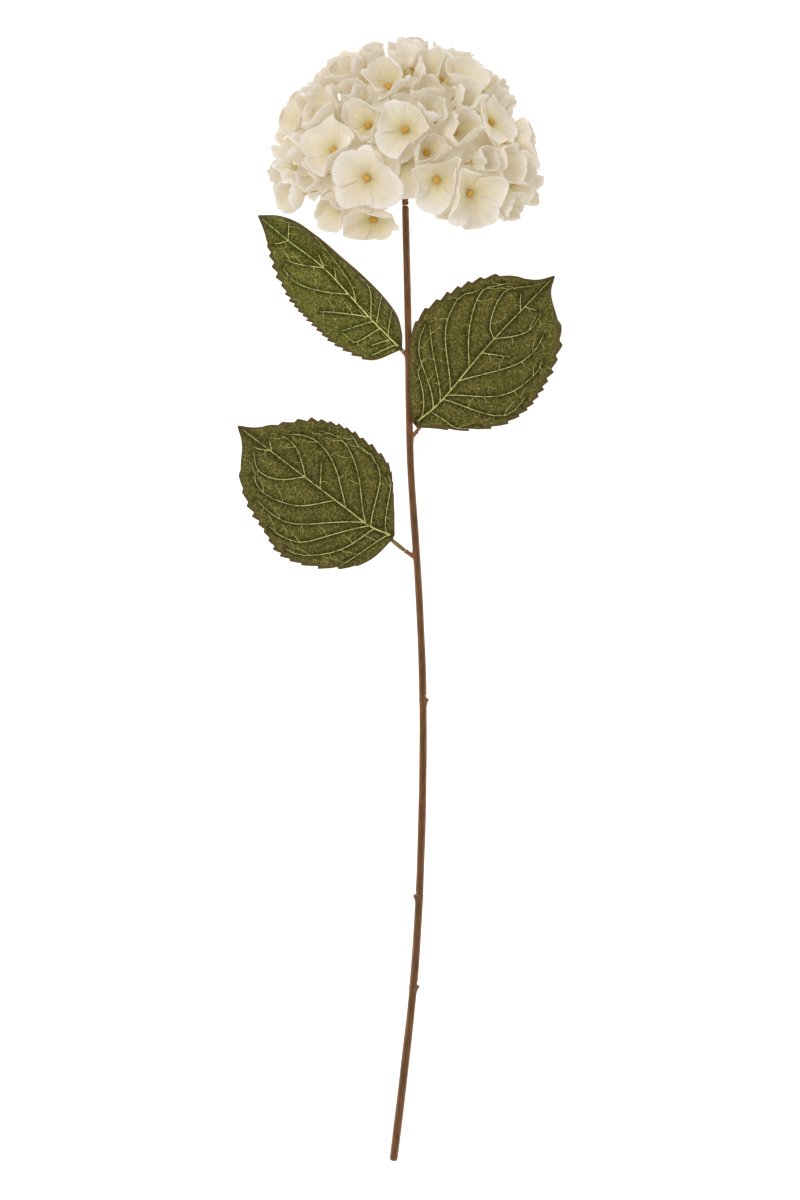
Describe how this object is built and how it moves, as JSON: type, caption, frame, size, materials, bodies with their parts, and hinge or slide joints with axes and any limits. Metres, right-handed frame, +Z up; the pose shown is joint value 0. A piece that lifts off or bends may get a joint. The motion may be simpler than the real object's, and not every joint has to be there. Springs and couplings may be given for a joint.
{
  "type": "artificial hydrangea stem",
  "caption": "Artificial cut hydrangea with a domed head of cream fabric florets, veined green fabric leaves and a long moulded brown stem, lying flat.",
  "frame": {"origin": "on the surface that the stem lies on, under the middle of its bounding box", "axes": "+Y along the stem towards the flower head, +Z up from the surface, +X to the side of the right leaf"},
  "size_m": [0.2294, 0.796, 0.1705],
  "materials": {
    "stem_plastic": "satin",
    "collar_wrap": "matte",
    "leaf_cloth": "matte",
    "rib_plastic": "satin",
    "pip_plastic": "satin",
    "petal_cloth": "matte"
  },
  "bodies": {
    "root": {"stem": "stem_plastic", "stem_collar": "collar_wrap", "leaf_blade_upper_left": "leaf_cloth", "leaf_rib_upper_left": "rib_plastic", "leaf_blade_right": "leaf_cloth", "leaf_rib_right": "rib_plastic", "leaf_blade_lower_left": "leaf_cloth", "leaf_rib_lower_left": "rib_plastic", "sprig_1": "pip_plastic", "sprig_2": "pip_plastic", "sprig_3": "pip_plastic", "sprig_4": "pip_plastic", "sprig_5": "pip_plastic", "sprig_6": "pip_plastic", "sprig_7": "pip_plastic", "floret_01": "petal_cloth", "floret_02": "petal_cloth", "floret_03": "petal_cloth", "floret_04": "petal_cloth", "floret_05": "petal_cloth", "floret_06": "petal_cloth", "floret_07": "petal_cloth", "floret_08": "petal_cloth", "floret_09": "petal_cloth", "floret_10": "petal_cloth", "floret_11": "petal_cloth", "floret_12": "petal_cloth", "floret_13": "petal_cloth", "floret_14": "petal_cloth", "floret_15": "petal_cloth", "floret_16": "petal_cloth", "floret_17": "petal_cloth", "floret_18": "petal_cloth", "floret_19": "petal_cloth", "floret_20": "petal_cloth", "floret_21": "petal_cloth", "floret_22": "petal_cloth", "floret_23": "petal_cloth", "floret_24": "petal_cloth", "floret_25": "petal_cloth", "floret_26": "petal_cloth", "floret_27": "petal_cloth", "floret_28": "petal_cloth", "floret_29": "petal_cloth", "floret_30": "petal_cloth", "floret_31": "petal_cloth", "floret_32": "petal_cloth", "floret_33": "petal_cloth", "floret_34": "petal_cloth", "floret_35": "petal_cloth", "floret_36": "petal_cloth", "floret_37": "petal_cloth", "floret_38": "petal_cloth", "floret_39": "petal_cloth", "floret_40": "petal_cloth", "floret_41": "petal_cloth", "floret_42": "petal_cloth"}
  },
  "joints": []
}
